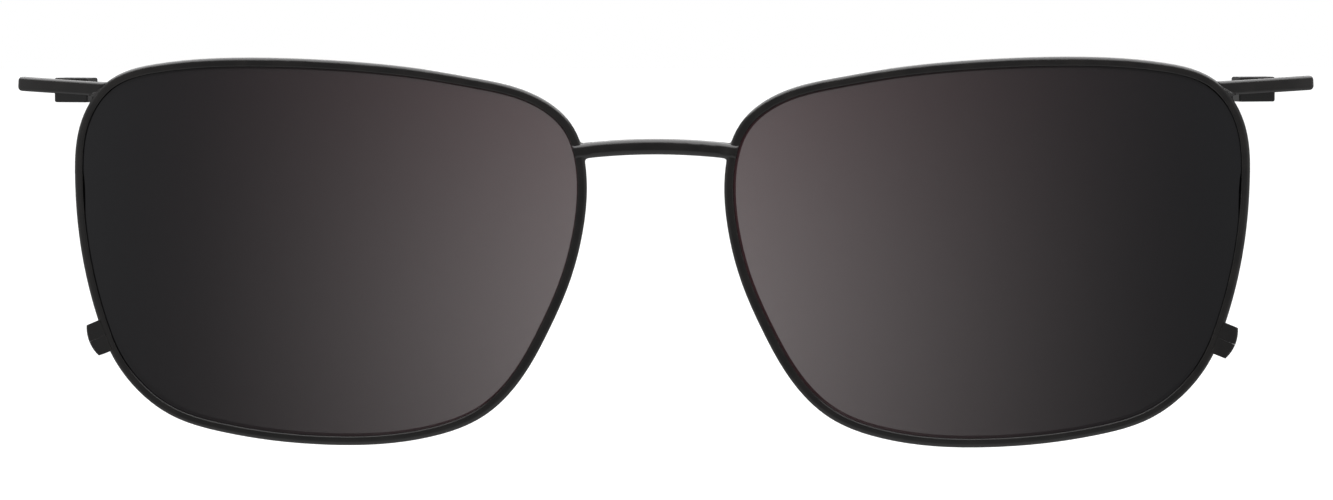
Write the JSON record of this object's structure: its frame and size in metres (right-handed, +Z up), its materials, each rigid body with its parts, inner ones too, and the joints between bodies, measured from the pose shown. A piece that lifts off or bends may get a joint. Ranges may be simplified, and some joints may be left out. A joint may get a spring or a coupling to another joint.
{
  "type": "magnetic clip-on sunglass front",
  "caption": "Thin black wire clip-on front with dark curved sun lenses, an arched bridge, swept side arms with magnet housings behind them, and screwed rim locks.",
  "frame": {"origin": "middle of the clip's width, height and depth: on the mid-plane between the rims, at half their height", "axes": "+X towards the wearer's left, which is the right of the picture; +Y back, towards the host frame and the face; +Z up"},
  "size_m": [0.1446, 0.0114, 0.043],
  "materials": {
    "black_frame": "satin black",
    "sun_lens": "polished, dark grey tint",
    "nickel_magnet": "nickel plated",
    "dark_screw": "blackened, slotted head"
  },
  "bodies": {
    "clip": {"bridge": "black_frame", "left_rim": "black_frame", "left_lens": "sun_lens", "left_arm": "black_frame", "left_magnet_housing": "black_frame", "left_magnet": "nickel_magnet", "left_lock_upper": "black_frame", "left_lock_lower": "black_frame", "right_rim": "black_frame", "right_lens": "sun_lens", "right_arm": "black_frame", "right_magnet_housing": "black_frame", "right_magnet": "nickel_magnet", "right_lock_upper": "black_frame", "right_lock_lower": "black_frame"},
    "left_screw": {"left_lock_screw": "dark_screw"},
    "right_screw": {"right_lock_screw": "dark_screw"}
  },
  "joints": [
    {"name": "left_lock_screw_turn", "type": "hinge", "parent": "clip", "child": "left_screw", "pos_m": [0.06174, -0.00009, -0.01148], "axis": [-0.3774, -0.0328, -0.9255], "range_deg": [0, 1728]},
    {"name": "right_lock_screw_turn", "type": "hinge", "parent": "clip", "child": "right_screw", "pos_m": [-0.06174, -0.00009, -0.01148], "axis": [0.3774, -0.0328, -0.9255], "range_deg": [0, 1728]}
  ]
}
